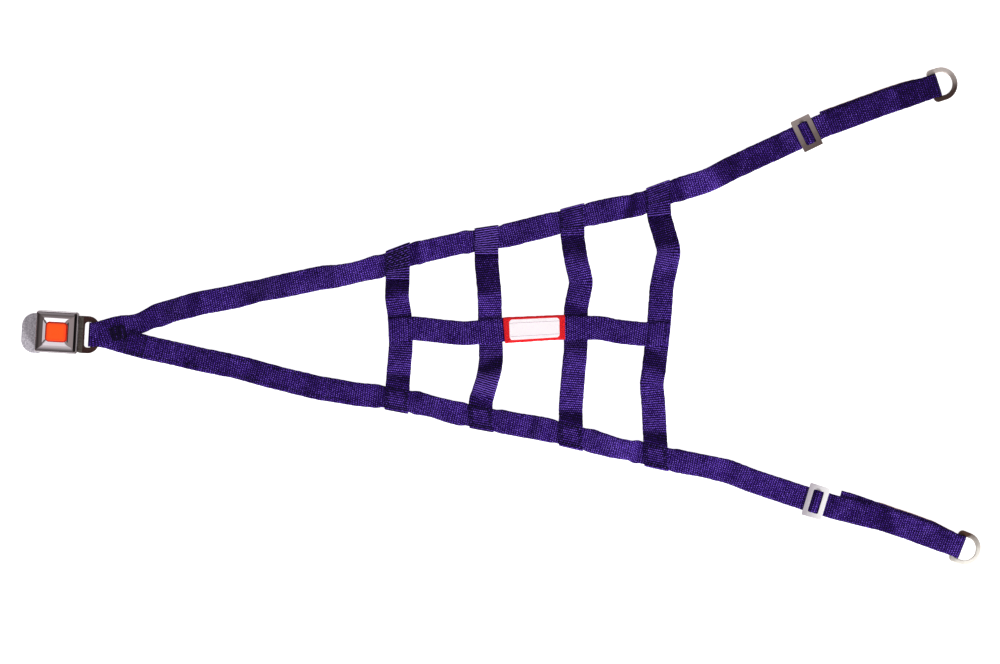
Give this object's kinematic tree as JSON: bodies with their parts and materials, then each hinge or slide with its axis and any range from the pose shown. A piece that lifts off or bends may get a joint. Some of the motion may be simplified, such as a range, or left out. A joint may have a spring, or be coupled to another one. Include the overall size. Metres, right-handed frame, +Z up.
{
  "type": "roll cage net",
  "caption": "Triangular net of sewn webbing straps, with a push-button buckle at its point and a slide and a D-ring at each open end.",
  "frame": {"origin": "centre of the bounding box's underside, on the surface that the net lies on", "axes": "+X along the net from the buckle to the D-rings, +Y across it, +Z up"},
  "size_m": [1.0148, 0.5267, 0.019],
  "materials": {
    "webbing": "dark violet-blue nylon webbing with a ribbed weave",
    "label": "off-white woven label with a red border",
    "nickel": "bright plated steel",
    "cast_grey": "grey hammered finish on a cast base",
    "chrome_cover": "chromed, dished round the button",
    "orange_plastic": "bright orange, slightly satin",
    "dark_steel": "dark brown steel with a worn edge"
  },
  "bodies": {
    "net": {"side_strap_upper": "webbing", "side_strap_lower": "webbing", "cross_strap_1": "webbing", "cross_strap_2": "webbing", "cross_strap_3": "webbing", "cross_strap_4": "webbing", "centre_strap": "webbing", "label": "label", "slide_upper": "nickel", "slide_lower": "nickel", "d_ring_upper": "nickel", "d_ring_lower": "nickel", "buckle_base": "cast_grey", "buckle_cover": "chrome_cover", "buckle_bracket": "dark_steel"},
    "button": {"buckle_button": "orange_plastic"}
  },
  "joints": [
    {"name": "button_press", "type": "slide", "parent": "net", "child": "button", "axis": [0, 0, -1], "range_m": [0, 0.0028], "stiffness_N_per_m": 1500, "springref_m": -0.004}
  ]
}
